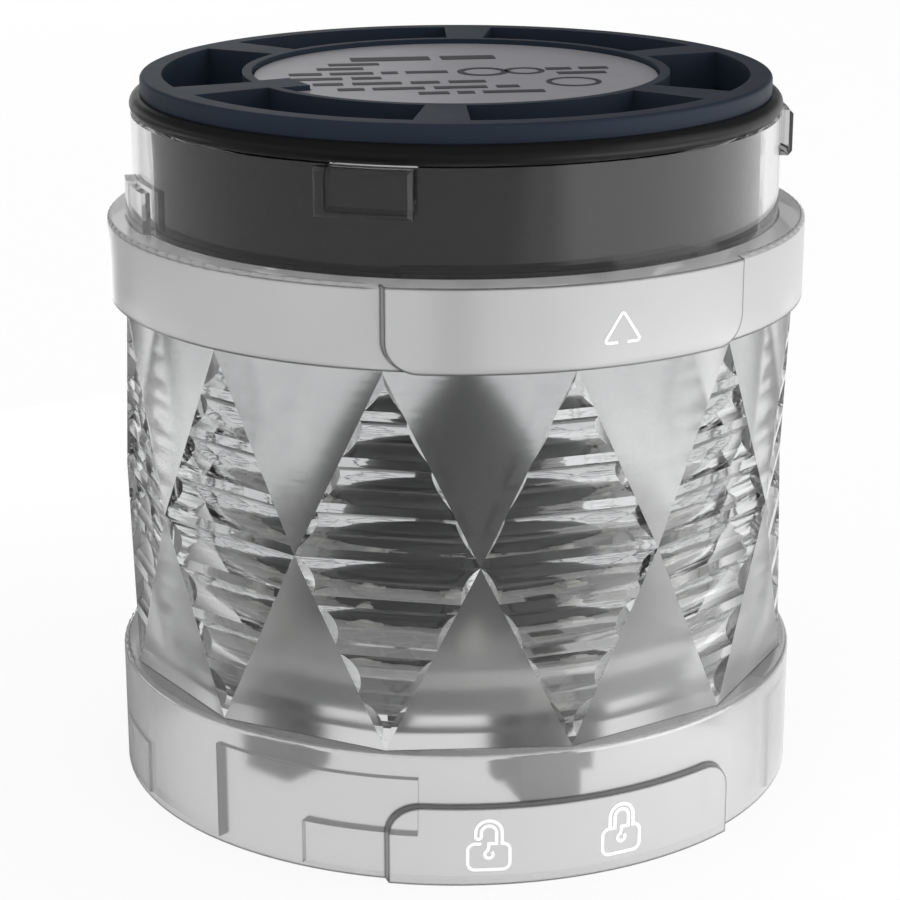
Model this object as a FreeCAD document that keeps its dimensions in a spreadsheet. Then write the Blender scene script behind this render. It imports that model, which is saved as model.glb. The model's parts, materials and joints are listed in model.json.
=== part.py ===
"""One lit tier of a 60 mm stack light, as a parametric FreeCAD document.

The tier is a clear, faceted lens moulding that carries a bayonet socket at its foot and a bayonet plug at
its head. A dark head cup, a spoked cover and a rubber seal ring close the top. A carrier with six plug
shrouds closes the bottom. Between them stand the LED board, a reflector cone and six link bars.

The axis of the tier is Z, and Z is zero on the face that it stands on. An azimuth is measured about Z from
the middle of the grip tabs, which face -Y, and grows towards +X. All lengths are in millimetres.
"""

import FreeCAD, Part
import Sketcher
import math
import os
import re

Vector = FreeCAD.Vector

# Two places that differ by less than this are the same place.
SAME_PLACE = 1e-4

# ---------------------------------------------------------------------------------------------------------
# The driving sizes
# ---------------------------------------------------------------------------------------------------------

SIZES = {
    # The bayonet ring at the foot.
    "ring_radius": 30.0,
    "ring_height": 10.97,
    "ring_edge_round": 0.4,
    "socket_clearance": 0.2,
    "seal_squeeze": 0.16,
    "cover_room_fit": 0.19,
    "cover_room_gap": 0.39,
    # The clear wall of the lens.
    "facet_count": 12,
    "facet_inset": 0.8,
    "facet_height": 31.53,
    "facet_top_gap": 0.4,
    "lens_wall": 3.6,
    "seat_lip_reach": 1.2,
    "seat_lip_height": 1.2,
    # The scoops that rib every second diamond.
    "scoops_each_half": 4,
    "scoop_land": 0.8,
    "scoop_depth": 0.63,
    "scoop_end_slope": 0.84,
    # The collar and the neck at the head.
    "collar_height": 6.8,
    "collar_edge_round": 0.3,
    "neck_inset": 2.3,
    "neck_wall": 1.24,
    "neck_height": 8.6,
    "cup_shoulder_drop": 0.5,
    # The grip tabs on the ring and on the collar.
    "tab_rise": 0.8,
    "ring_tab_angle": 58.0,
    "ring_tab_height": 6.8,
    "ring_tab_round": 2.6,
    "collar_tab_angle": 58.0,
    "collar_tab_round": 2.4,
    # The bayonet lugs on the neck, and their slots in the ring.
    "lug_angle": 16.0,
    "lug_rise": 1.1,
    "lug_height": 3.9,
    "lug_top_gap": 0.1,
    "lug_bevel": 0.35,
    "first_lug_azimuth": -33.4,
    "second_lug_azimuth": 76.0,
    "third_lug_azimuth": -153.4,
    "slot_clearance": 0.2,
    "slot_top_gap": 0.1,
    "slot_end_angle": 0.6,
    "lock_turn": 19.5,
    "slot_ledge_gap": 0.8,
    # The coding lug at the foot of the neck.
    "code_azimuth": -92.3,
    "code_angle": 17.0,
    "code_rise": 0.7,
    "code_height": 3.4,
    "code_slot_gap": 1.3,
    # The head cup.
    "cup_clearance": 0.4,
    "cup_wall": 1.0,
    "cup_floor": 1.3,
    # The spoked cover.
    "cover_inset": 0.84,
    "cover_flange": 1.51,
    "cover_spoke_depth": 5.0,
    "cover_edge_round": 0.35,
    "cover_fit": 0.1,
    "opening_inset": 0.06,
    "opening_width": 6.8,
    "hub_floor": 1.4,
    "hub_wall": 1.2,
    "circuit_count": 6,
    "spoke_angle": 10.1,
    "first_opening_azimuth": 8.7,
    "label_margin": 1.0,
    "label_fit": 0.2,
    "label_recess": 0.6,
    "label_thickness": 0.2,
    "key_pad_reach": 2.6,
    "key_pad_width": 4.2,
    "key_pad_fit": 0.15,
    # The seal ring.
    "seal_thickness": 1.66,
    "seal_bulge": 0.1,
    # The carrier and its plug shrouds.
    "carrier_fit": 0.2,
    "carrier_floor": 2.0,
    "carrier_rim_wall": 1.2,
    "carrier_rim_height": 3.8,
    "rib_width": 1.1,
    "rib_reach": 3.2,
    "rib_height": 1.2,
    "first_plug_azimuth": 0.0,
    "plug_width": 5.2,
    "plug_depth": 4.6,
    "plug_wall": 0.8,
    "plug_bottom_height": 4.2,
    "plug_wing_span": 8.4,
    "plug_wing_thickness": 1.8,
    "plug_wing_rise": 1.7,
    "plug_corner_round": 0.4,
    # The contacts.
    "contact_thickness": 0.4,
    "contact_width": 2.6,
    "contact_gap": 0.8,
    "contact_inset": 1.0,
    "blade_height": 5.0,
    # The boards.
    "board_thickness": 1.6,
    "board_fit": 0.3,
    "head_board_fit": 0.3,
    # The LEDs.
    "led_from_plug": 3.5,
    "led_size": 2.8,
    "led_height": 1.1,
    "led_lens_radius": 1.05,
    # The reflector.
    "cone_from_led": 0.7,
    "cone_bulge": 1.8,
    "cone_wall": 1.2,
    "mast_foot_height": 34.0,
    "mast_radius": 2.0,
    "mast_wall": 0.5,
    "mast_fit": 0.1,
    # The link bars inside the mast.
    "link_pitch_radius": 0.95,
    "link_thickness": 0.4,
    "link_width": 0.6,
    # The parts of the driver.
    "chip_length": 5.0,
    "chip_width": 4.0,
    "chip_height": 1.5,
    "bridge_length": 4.8,
    "bridge_width": 4.0,
    "bridge_height": 2.4,
    "coil_side": 4.4,
    "coil_height": 3.0,
    "capacitor_radius": 2.0,
    "capacitor_height": 4.4,
    "fuse_length": 4.5,
    "fuse_width": 1.8,
    "fuse_height": 1.4,
    "driver_pitch_radius": 7.0,
    "chip_azimuth": 20.0,
    "bridge_azimuth": 98.0,
    "coil_azimuth": 220.0,
    "fuse_azimuth": 264.0,
    "input_capacitor_azimuth": 144.0,
    "output_capacitor_azimuth": 336.0,
    # The screws.
    "screw_count": 3,
    "screw_radius": 1.1,
    "screw_head_radius": 2.1,
    "screw_head_height": 1.0,
    "screw_hole_fit": 0.2,
    "thread_gap": 0.05,
    "screw_length": 7.0,
    "screw_socket_radius": 0.9,
    "screw_socket_depth": 0.5,
    "post_radius": 2.3,
    "base_screw_pitch": 8.0,
    "base_screw_azimuth": 60.0,
    "cover_screw_inset": 3.7,
    "cover_screw_azimuth": 98.7,
    # How far a cutting shape runs past what it cuts, and how far a joined shape sinks into its neighbour.
    "cut_past": 1.0,
    "sink": 0.1,
}

# Heights and radii that follow from the driving sizes.
DERIVED = {
    "period": "facet_height / (2 * scoops_each_half)",
    "waist_height": "ring_height + facet_height / 2",
    "facet_top": "ring_height + facet_height",
    "collar_bottom": "facet_top + facet_top_gap",
    "ledge_height": "collar_bottom + collar_height",
    "neck_top": "ledge_height + neck_height",
    "facet_radius": "ring_radius - facet_inset",
    "lens_bore_radius": "facet_radius - lens_wall",
    "seat_lip_radius": "lens_bore_radius - seat_lip_reach",
    "neck_radius": "ring_radius - neck_inset",
    "neck_bore_radius": "neck_radius - neck_wall",
    "socket_radius": "neck_radius + socket_clearance",
    "seal_seat_height": "neck_height + seal_thickness - seal_squeeze",
    "seal_outer_radius": "neck_radius + seal_bulge",
    "cover_radius": "neck_radius - cover_inset",
    "cover_room_radius": "cover_radius + cover_room_fit",
    "cover_room_height": "seal_seat_height + cover_flange + cover_room_gap",
    "cup_bottom": "ledge_height - cup_shoulder_drop",
    "cup_radius": "neck_bore_radius - cup_clearance",
    "flange_bottom": "neck_top + seal_thickness",
    "cover_top": "flange_bottom + cover_flange",
    "label_floor": "cover_top - label_recess",
    "cover_floor": "label_floor - hub_floor",
    "spigot_radius": "cup_radius - cup_wall - cover_fit",
    "opening_outer_radius": "cup_radius - cup_wall - opening_inset",
    "hub_radius": "opening_outer_radius - opening_width",
    "label_radius": "hub_radius - label_margin",
    "plug_pitch_radius": "hub_radius + opening_width / 2",
    "led_pitch_radius": "plug_pitch_radius - led_from_plug",
    "cone_base_radius": "led_pitch_radius - led_size / 2 - cone_from_led",
    "cone_middle_radius": "(cone_base_radius + mast_radius) / 2 + cone_bulge",
    "cone_middle_height": "(led_board_top + mast_foot_height) / 2",
    "cover_screw_pitch": "label_radius - cover_screw_inset",
    "slot_radius": "neck_radius + lug_rise + slot_clearance",
    "lug_radius": "neck_radius + lug_rise",
    "lug_top": "neck_top - lug_top_gap",
    "slot_top_height": "neck_height - lug_top_gap + slot_top_gap",
    "slot_ledge_height": "neck_height - lug_top_gap - lug_height - slot_ledge_gap",
    "code_slot_height": "code_height + code_slot_gap",
    "tab_radius": "ring_radius + tab_rise",
    "lip_top": "cover_room_height + seat_lip_height",
    "carrier_radius": "lens_bore_radius - carrier_fit",
    "carrier_top": "lip_top + carrier_floor",
    "led_board_top": "carrier_top + board_thickness",
    "head_board_bottom": "cup_bottom + cup_floor",
    "head_board_top": "head_board_bottom + board_thickness",
    "circuit_angle": "360 / circuit_count",
    "key_pad_azimuth": "first_opening_azimuth - circuit_angle * 3 / 2",
}

doc = FreeCAD.newDocument("stack_light_tier")
sheet = doc.addObject("Spreadsheet::Sheet", "Sizes")
for row, alias in enumerate([*SIZES, *DERIVED], start=1):
    sheet.set(f"A{row}", alias.replace("_", " "))
    sheet.setAlias(f"B{row}", alias)
for row, length in enumerate(SIZES.values(), start=1):
    sheet.set(f"B{row}", str(length))
for row, rule in enumerate(DERIVED.values(), start=len(SIZES) + 1):
    sheet.set(f"B{row}", "=" + rule)
doc.recompute()


def size(alias):
    """The present value of one cell of the sheet."""
    return float(sheet.get(alias))


def value(text):
    """Works out a formula in the sizes."""
    return float(sheet.evalExpression(text))


def formula(text):
    """Points every size that the text names at its cell in the sheet."""

    def cell(word):
        known = word.group() in SIZES or word.group() in DERIVED
        return "Sizes." + word.group() if known else word.group()

    return re.sub(r"[a-z_]+", cell, text)


# ---------------------------------------------------------------------------------------------------------
# Building blocks
# ---------------------------------------------------------------------------------------------------------


def bind(feature, rules):
    """Ties properties of a feature to formulas in the sizes."""
    for name, rule in rules.items():
        feature.setExpression(name, formula(rule))
    return feature


def cylinder(name, radius, bottom, top, middle="0", sweep="360"):
    """A cylinder on the axis, or the sector of one that spans an angle about a middle azimuth."""
    feature = doc.addObject("Part::Cylinder", name)
    rules = {
        "Radius": radius,
        "Height": f"({top}) - ({bottom})",
        "Angle": sweep,
        "Placement.Base.z": bottom,
        "Placement.Rotation.Angle": f"{middle} - ({sweep}) / 2 - 90",
    }
    return bind(feature, rules)


def block(name, width, near, far, bottom, top, offset="0"):
    """A box that faces -Y, between two distances from the axis. The offset is the X of its middle."""
    feature = doc.addObject("Part::Box", name)
    rules = {
        "Length": width,
        "Width": f"({far}) - ({near})",
        "Height": f"({top}) - ({bottom})",
        "Placement.Base.x": f"{offset} - ({width}) / 2",
        "Placement.Base.y": f"0 - ({far})",
        "Placement.Base.z": bottom,
    }
    return bind(feature, rules)


def upright(name, radius, distance, bottom, top, offset="0"):
    """A post that stands at a distance from the axis, on the side of -Y."""
    feature = doc.addObject("Part::Cylinder", name)
    rules = {
        "Radius": radius,
        "Height": f"({top}) - ({bottom})",
        "Placement.Base.x": offset,
        "Placement.Base.y": f"0 - ({distance})",
        "Placement.Base.z": bottom,
    }
    return bind(feature, rules)


def fuse(name, shapes):
    feature = doc.addObject("Part::MultiFuse", name)
    feature.Shapes = shapes
    return feature


def cut(name, base, tools):
    feature = doc.addObject("Part::Cut", name)
    feature.Base = base
    feature.Tool = tools[0] if len(tools) == 1 else fuse(name + "_tools", tools)
    return feature


def common(name, shapes):
    feature = doc.addObject("Part::MultiCommon", name)
    feature.Shapes = shapes
    return feature


def at_azimuth(name, piece, azimuth):
    """A copy of a piece that was built facing -Y, turned about the axis to an azimuth."""
    feature = doc.addObject("Part::Compound", name)
    feature.Links = [piece]
    return bind(feature, {"Placement.Rotation.Angle": azimuth})


def around(name, piece, count, first="0"):
    """Copies of a piece that was built facing -Y, evenly spaced about the axis."""
    return [
        at_azimuth(f"{name}_{number + 1}", piece, f"{first} + {number} * 360 / {count}")
        for number in range(int(value(count)))
    ]


def turning(name, outline, through=None):
    """A body turned about the axis. The outline is a closed row of corners, each a radius and a height.

    A side is straight, or an arc through one more point, which is then given by the number of its corner.
    """
    through = through or {}
    body = doc.addObject("PartDesign::Body", name)
    plane = next(item for item in body.Origin.OriginFeatures if item.Role == "XZ_Plane")
    sketch = body.newObject("Sketcher::SketchObject", name + "_outline")
    sketch.AttachmentSupport = [(plane, "")]
    sketch.MapMode = "FlatFace"

    def spot(place):
        return Vector(value(place[0]), value(place[1]), 0)

    def pin(geometry, end, place):
        """Ties one point of the sketch to its radius and its height."""
        for kind, rule, axis in (("DistanceX", place[0], -2), ("DistanceY", place[1], -1)):
            if value(rule) == 0:
                sketch.addConstraint(Sketcher.Constraint("PointOnObject", geometry, end, axis))
                continue
            distance = Sketcher.Constraint(kind, -1, 1, geometry, end, value(rule))
            sketch.setExpression(f"Constraints[{sketch.addConstraint(distance)}]", formula(rule))

    sides = []
    for number, (start, end) in enumerate(zip(outline, outline[1:] + outline[:1])):
        if number not in through:
            line = sketch.addGeometry(Part.LineSegment(spot(start), spot(end)))
            sides.append((line, 1, 2))
            continue
        first, between, last = spot(start), spot(through[number]), spot(end)
        forward = (between - first).cross(last - between).z > 0
        arc = Part.Arc(first, between, last) if forward else Part.Arc(last, between, first)
        circle = arc.toShape().Curve
        curve = sketch.addGeometry(Part.ArcOfCircle(circle, arc.FirstParameter, arc.LastParameter))
        sides.append((curve, 1, 2) if forward else (curve, 2, 1))
        middle = sketch.addGeometry(Part.Point(between), True)
        sketch.addConstraint(Sketcher.Constraint("PointOnObject", middle, 1, curve))
        pin(middle, 1, through[number])
    for number, (geometry, first_end, _) in enumerate(sides):
        before, _, last_end = sides[number - 1]
        sketch.addConstraint(Sketcher.Constraint("Coincident", before, last_end, geometry, first_end))
        pin(geometry, first_end, outline[number])
    revolution = body.newObject("PartDesign::Revolution", name + "_turned")
    revolution.Profile = sketch
    revolution.ReferenceAxis = (sketch, ["V_Axis"])
    revolution.Angle = 360
    doc.recompute()
    return body


def rounded(name, base, radius, picked):
    """Rounds the edges of a feature that the picking function chooses."""
    doc.recompute()
    feature = doc.addObject("Part::Fillet", name)
    feature.Base = base
    edges = enumerate(base.Shape.Edges, start=1)
    feature.Edges = [(number, size(radius), size(radius)) for number, edge in edges if picked(edge)]
    return feature


def rim_at(radius, height):
    """Picks the round edges of one radius about the axis, at one height."""

    def picked(edge):
        curve = edge.Curve
        if not isinstance(curve, Part.Circle):
            return False
        same_radius = abs(curve.Radius - value(radius)) < SAME_PLACE
        return same_radius and abs(curve.Center.z - value(height)) < SAME_PLACE

    return picked


def corners_at(height):
    """Picks the edges that run along Y at one height."""

    def picked(edge):
        start, end = (vertex.Point for vertex in edge.Vertexes)
        level = abs(start.z - value(height)) < SAME_PLACE and abs(end.z - value(height)) < SAME_PLACE
        return level and abs(start.x - end.x) < SAME_PLACE

    return picked


PIECES = []


def piece(name, feature):
    """Names a finished sub-part, which is written to a file of that name."""
    feature.Label = name
    PIECES.append((name, feature))
    return feature


# ---------------------------------------------------------------------------------------------------------
# Lens body: ring, faceted wall, collar, neck, tabs and lugs in one clear moulding
# ---------------------------------------------------------------------------------------------------------


def on_circle(radius, azimuth, height):
    angle = math.radians(azimuth)
    return Vector(radius * math.sin(angle), -radius * math.cos(angle), height)


def solid_between(faces):
    """The solid inside a closed set of flat faces, each given by its corners in order."""
    shell = Part.makeShell([Part.Face(Part.makePolygon(face + face[:1])) for face in faces])
    solid = Part.makeSolid(shell)
    if solid.Volume < 0:
        solid.reverse()
    return solid


def faceted_wall():
    """Two bands of flat triangles, whose corners meet at the waist."""
    count = int(size("facet_count"))
    radius = size("facet_radius")
    step = 360 / count
    foot, waist, head = [
        [on_circle(radius, (number + shift) * step, size(height)) for number in range(count)]
        for height, shift in (("ring_height", 0), ("waist_height", 0.5), ("facet_top", 0))
    ]
    faces = [foot, head]
    for number in range(count):
        following = (number + 1) % count
        for band in (foot, head):
            faces.append([band[number], band[following], waist[number]])
            faces.append([waist[number], band[following], waist[following]])
    return solid_between(faces)


def wedge(tip, down, side, normal, half_angle, length, depth):
    """A triangular well below a tip, whose two long walls lean inwards as it gets deeper."""
    layers = []
    for level in (-depth, depth):
        lean = level * size("scoop_end_slope")
        tip_here = tip + down * (lean / math.sin(half_angle)) - normal * level
        half_width = length * math.tan(half_angle) - lean / math.cos(half_angle)
        foot_here = tip + down * length - normal * level
        layers.append([tip_here, foot_here + side * half_width, foot_here - side * half_width])
    outer, inner = layers
    walls = [[outer[i], outer[(i + 1) % 3], inner[(i + 1) % 3], inner[i]] for i in range(3)]
    return solid_between([outer, inner] + walls)


def half_diamond_scoops(tip_height, waist_height):
    """The scoops between one tip of the front diamond and its waist, tip first or waist first by height."""
    radius = size("facet_radius")
    half_step = math.pi / size("facet_count")
    tip = on_circle(radius, 0, tip_height)
    waist_middle = on_circle(radius * math.cos(half_step), 0, waist_height)
    side = Vector(1, 0, 0)
    slope = waist_middle - tip
    slope_length = slope.Length
    down = slope.normalize()
    normal = side.cross(down) if side.cross(down).y < 0 else down.cross(side)
    half_angle = math.atan(radius * math.sin(half_step) / slope_length)
    depth = size("scoop_depth")
    well = wedge(tip, down, side, normal, half_angle, slope_length + size("cut_past"), 2 * depth)

    troughs = []
    stretch = slope_length / abs(waist_height - tip_height)
    for number in range(int(size("scoops_each_half"))):
        upper = max(tip_height, waist_height) - number * value("period")
        lower = upper - value("period - scoop_land")
        rim = [tip + down * (abs(tip_height - height) * stretch) for height in (upper, lower)]
        bottom = (rim[0] + rim[1]) * 0.5 - normal * depth
        arc = Part.Arc(rim[0], bottom, rim[1]).toShape()
        lid = [rim[1], rim[1] + normal * depth, rim[0] + normal * depth, rim[0]]
        section = Part.Face(Part.Wire([arc] + Part.makePolygon(lid).Edges))
        section.translate(side * -radius)
        troughs.append(section.extrude(side * (2 * radius)))
    return [trough.common(well) for trough in troughs]


def diamond_scoops():
    """The scoops of every diamond, as one compound of separate cutting solids."""
    front = []
    for tip_height in ("facet_top", "ring_height"):
        front += half_diamond_scoops(size(tip_height), size("waist_height"))
    step = 360 / size("facet_count")
    turned = []
    for number in range(int(size("facet_count"))):
        for scoop in front:
            copy = scoop.copy()
            copy.rotate(Vector(0, 0, 0), Vector(0, 0, 1), number * step)
            turned.append(copy)
    return Part.makeCompound(turned)


def grip_tab(name, bottom, top, round_height):
    """A slab over the front of a ring, with two round corners at one edge."""
    width = f"2 * tab_radius * sin({name}_angle / 2)"
    near = f"lens_bore_radius * cos({name}_angle / 2)"
    slab = block(name + "_slab", width, near, "tab_radius + cut_past", bottom, top)
    soft = rounded(name + "_rounded", slab, name + "_round", corners_at(round_height))
    band = cylinder(name + "_band", "tab_radius", bottom, top)
    return common(name, [soft, band])


def neck_lugs():
    """Three bayonet lugs near the neck's top edge, keyed by their uneven spacing."""
    lug_bottom = "lug_top - lug_height"
    plain = cylinder("lug_blank", "lug_radius", lug_bottom, "lug_top", "0", "lug_angle")
    bevelled = doc.addObject("Part::Chamfer", "lug_bevelled")
    bevelled.Base = plain
    doc.recompute()
    bevel = size("lug_bevel")
    chosen = [
        number
        for number, edge in enumerate(plain.Shape.Edges, start=1)
        if all(abs(math.hypot(v.X, v.Y) - value("lug_radius")) < SAME_PLACE for v in edge.Vertexes)
    ]
    bevelled.Edges = [(number, bevel, bevel) for number in chosen]
    lugs = []
    for order in ("first", "second", "third"):
        lugs.append(at_azimuth(order + "_lug", bevelled, order + "_lug_azimuth"))
    return lugs


def bayonet_slots():
    """An L-shaped slot for each lug of the tier below: up through the entry, then along to the lock."""
    slots = []
    top = "slot_top_height"
    sweep = "(lug_angle + 2 * slot_end_angle)"
    for order in ("first", "second", "third"):
        start = order + "_lug_azimuth - lock_turn"
        middle = order + "_lug_azimuth - lock_turn / 2"
        slots += [
            cylinder(order + "_entry", "slot_radius", "0 - cut_past", top, start, sweep),
            cylinder(
                order + "_channel", "slot_radius", "slot_ledge_height", top, middle, sweep + " + lock_turn"
            ),
        ]
    return slots


def lens_body():
    ring = rounded(
        "ring",
        cylinder("ring_blank", "ring_radius", "0", "ring_height"),
        "ring_edge_round",
        rim_at("ring_radius", "ring_height"),
    )
    ring_tab = grip_tab("ring_tab", "0", "ring_tab_height", "ring_tab_height")

    wall = doc.addObject("Part::Feature", "faceted_wall")
    wall.Shape = faceted_wall()
    band = doc.addObject("Part::Prism", "band_under_collar")
    rules = {
        "Polygon": "facet_count",
        "Circumradius": "facet_radius",
        "Height": "facet_top_gap + sink",
        "Placement.Base.z": "facet_top",
        "Placement.Rotation.Angle": "-90",
    }
    bind(band, rules)

    collar = rounded(
        "collar",
        cylinder("collar_blank", "ring_radius", "collar_bottom", "ledge_height"),
        "collar_edge_round",
        rim_at("ring_radius", "ledge_height"),
    )
    collar_tab = grip_tab("collar_tab", "collar_bottom", "ledge_height", "collar_bottom")
    neck = cylinder("neck", "neck_radius", "ledge_height - sink", "neck_top")
    code_lug = cylinder(
        "code_lug",
        "neck_radius + code_rise",
        "ledge_height - sink",
        "ledge_height + code_height",
        "code_azimuth",
        "code_angle",
    )
    outside = [ring, ring_tab, wall, band, collar, collar_tab, neck, code_lug] + neck_lugs()

    scoops = doc.addObject("Part::Feature", "diamond_scoops")
    scoops.Shape = diamond_scoops()
    inside = [
        cylinder("socket_bore", "socket_radius", "0 - cut_past", "seal_seat_height"),
        cylinder("cover_room", "cover_room_radius", "0", "cover_room_height"),
        cylinder("lip_bore", "seat_lip_radius", "0", "lip_top"),
        cylinder("lens_bore", "lens_bore_radius", "lip_top", "cup_bottom"),
        cylinder("neck_bore", "neck_bore_radius", "cup_bottom", "neck_top + cut_past"),
        cylinder(
            "code_slot",
            "slot_radius",
            "0 - cut_past",
            "code_slot_height",
            "code_azimuth - lock_turn / 2",
            "code_angle + 2 * slot_end_angle + lock_turn",
        ),
    ]
    solid = cut("hollow_lens", fuse("solid_lens", outside), inside + bayonet_slots())
    ribbed = doc.addObject("Part::Cut", "ribbed_lens")
    ribbed.Base = solid
    ribbed.Tool = scoops
    return ribbed


piece("lens_body", lens_body())

# ---------------------------------------------------------------------------------------------------------
# Head: cup, cover, label and seal
# ---------------------------------------------------------------------------------------------------------


def head_cup():
    """An open cup that stands on the shoulder inside the neck, with a hole for the mast and screw posts."""
    bore = "cup_radius - cup_wall"
    shell = turning(
        "cup_shell",
        [
            ("mast_radius + mast_fit", "cup_bottom"),
            ("cup_radius", "cup_bottom"),
            ("cup_radius", "neck_top"),
            (bore, "neck_top"),
            (bore, "head_board_bottom"),
            ("mast_radius + mast_fit", "head_board_bottom"),
        ],
    )
    pitch = "cover_screw_pitch"
    blank = upright("cup_post_blank", "post_radius", pitch, "head_board_bottom - sink", "cover_floor")
    hole = upright("cup_post_hole", "screw_radius", pitch, "head_board_top", "cover_top")
    post = cut("cup_post", blank, [hole])
    return fuse("cup", [shell] + around("cup_post", post, "screw_count", "cover_screw_azimuth"))


def spoke_cover():
    """A flanged disc with six openings between its spokes, and a hub with a sunk seat for the label."""
    disc = turning(
        "cover_disc",
        [
            ("0", "cover_floor"),
            ("hub_radius - hub_wall", "cover_floor"),
            ("hub_radius - hub_wall", "cover_top - cover_spoke_depth"),
            ("spigot_radius", "cover_top - cover_spoke_depth"),
            ("spigot_radius", "neck_top"),
            ("cup_radius", "neck_top"),
            ("cup_radius", "flange_bottom"),
            ("cover_radius", "flange_bottom"),
            ("cover_radius", "cover_top"),
            ("label_radius + label_fit", "cover_top"),
            ("label_radius + label_fit", "label_floor"),
            ("0", "label_floor"),
        ],
    )
    softened = rounded("cover_softened", disc, "cover_edge_round", rim_at("cover_radius", "cover_top"))
    low = "cover_top - cover_spoke_depth - cut_past"
    high = "cover_top + cut_past"
    sweep = "circuit_angle - spoke_angle"
    opening = cut(
        "opening",
        cylinder("opening_sector", "opening_outer_radius", low, high, "0", sweep),
        [cylinder("opening_hub", "hub_radius", low, high)],
    )
    openings = around("cover_opening", opening, "circuit_count", "first_opening_azimuth")
    pitch = "cover_screw_pitch"
    shank = upright(
        "cover_hole", "screw_radius + screw_hole_fit", pitch, "cover_floor - cut_past", "cover_top"
    )
    head = upright(
        "cover_counterbore",
        "screw_head_radius + screw_hole_fit",
        pitch,
        "label_floor - screw_head_height",
        "cover_top",
    )
    hole = fuse("cover_screw_hole", [shank, head])
    holes = around("cover_screw_hole", hole, "screw_count", "cover_screw_azimuth")
    opened = cut("cover_opened", softened, openings + holes)
    pad = block(
        "key_pad_blank",
        "key_pad_width",
        "label_radius - key_pad_reach",
        "hub_radius - sink",
        "label_floor - sink",
        "cover_top",
    )
    return fuse("cover", [opened, at_azimuth("key_pad", pad, "key_pad_azimuth")])


def rating_label():
    """A thin plate in the hub's seat, notched around the key pad."""
    disc = cylinder("label_disc", "label_radius", "label_floor", "label_floor + label_thickness")
    notch = block(
        "label_notch",
        "key_pad_width + 2 * key_pad_fit",
        "label_radius - key_pad_reach - key_pad_fit",
        "label_radius + cut_past",
        "label_floor - cut_past",
        "cover_top",
    )
    return cut("label", disc, [at_azimuth("label_notch_turned", notch, "key_pad_azimuth")])


def seal_ring():
    ring = doc.addObject("Part::Torus", "seal")
    rules = {
        "Radius2": "seal_thickness / 2",
        "Radius1": "seal_outer_radius - seal_thickness / 2",
        "Placement.Base.z": "neck_top + seal_thickness / 2",
    }
    return bind(ring, rules)


piece("head_cup", head_cup())
piece("spoke_cover", spoke_cover())
piece("rating_label", rating_label())
piece("seal_ring", seal_ring())

# ---------------------------------------------------------------------------------------------------------
# Carrier with its plug shrouds
# ---------------------------------------------------------------------------------------------------------


def plug_block(name, length, margin, bottom, top):
    """A block about the pitch circle of the plugs, less a margin on every side."""
    near = f"plug_pitch_radius - plug_depth / 2 + {margin}"
    far = f"plug_pitch_radius + plug_depth / 2 - {margin}"
    return block(name, f"{length} - 2 * {margin}", near, far, bottom, top)


def plug_outside():
    """A plug that hangs below the carrier and reaches into an opening of the cover below it."""
    core = plug_block("plug_core", "plug_width", "0", "plug_bottom_height", "lip_top + sink")
    soft_core = rounded("plug_core_rounded", core, "plug_corner_round", corners_at("plug_bottom_height"))
    wings = block(
        "plug_wings",
        "plug_wing_span",
        "plug_pitch_radius - plug_wing_thickness / 2",
        "plug_pitch_radius + plug_wing_thickness / 2",
        "plug_bottom_height + plug_wing_rise",
        "lip_top + sink",
    )
    return fuse("plug", [soft_core, wings])


def screw_hole(name, bottom, top):
    """The hole that a base screw passes through."""
    return upright(name, "screw_radius + screw_hole_fit", "base_screw_pitch", bottom, top)


def tail_slot(name):
    """The hole that a contact passes through, in the carrier's floor and in the LED board."""
    return block(
        name,
        "contact_width + 2 * board_fit",
        "plug_pitch_radius - contact_gap / 2 - contact_thickness - board_fit",
        "plug_pitch_radius + contact_gap / 2 + contact_thickness + board_fit",
        "lip_top - cut_past",
        "led_board_top + cut_past",
    )


def carrier():
    """The floor of the tier: a shallow tray on the lens body's lip, with short ribs and the six plugs."""
    rim_bore = "carrier_radius - carrier_rim_wall"
    tray = turning(
        "tray",
        [
            ("0", "lip_top"),
            ("carrier_radius", "lip_top"),
            ("carrier_radius", "lip_top + carrier_rim_height"),
            (rim_bore, "lip_top + carrier_rim_height"),
            (rim_bore, "carrier_top"),
            ("0", "carrier_top"),
        ],
    )
    plugs = around("plug", plug_outside(), "circuit_count", "first_plug_azimuth")
    low = "plug_bottom_height - cut_past"
    hollow = plug_block("plug_hollow_blank", "plug_width", "plug_wall", low, "lip_top")
    hollows = around("plug_hollow", hollow, "circuit_count", "first_plug_azimuth")
    rib = block(
        "rib_blank",
        "rib_width",
        "seat_lip_radius - rib_reach",
        "seat_lip_radius - sink",
        "lip_top - rib_height",
        "lip_top + sink",
    )
    ribs = around("rib", rib, "facet_count")
    slots = around("tail_slot", tail_slot("tail_slot_blank"), "circuit_count", "first_plug_azimuth")
    hole = screw_hole("carrier_hole", "lip_top - cut_past", "carrier_top + cut_past")
    holes = around("carrier_hole", hole, "screw_count", "base_screw_azimuth")
    return cut("carrier", fuse("carrier_solid", [tray] + plugs + ribs), hollows + slots + holes)


piece("plug_carrier", carrier())

# ---------------------------------------------------------------------------------------------------------
# Boards and the parts on them
# ---------------------------------------------------------------------------------------------------------


def led_board():
    radius = "carrier_radius - carrier_rim_wall - board_fit"
    disc = cylinder("led_board_disc", radius, "carrier_top", "led_board_top")
    slot = tail_slot("led_board_slot_blank")
    slots = around("led_board_slot", slot, "circuit_count", "first_plug_azimuth")
    hole = screw_hole("led_board_hole", "lip_top", "led_board_top + cut_past")
    holes = around("led_board_hole", hole, "screw_count", "base_screw_azimuth")
    return cut("led_board", disc, slots + holes)


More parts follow.
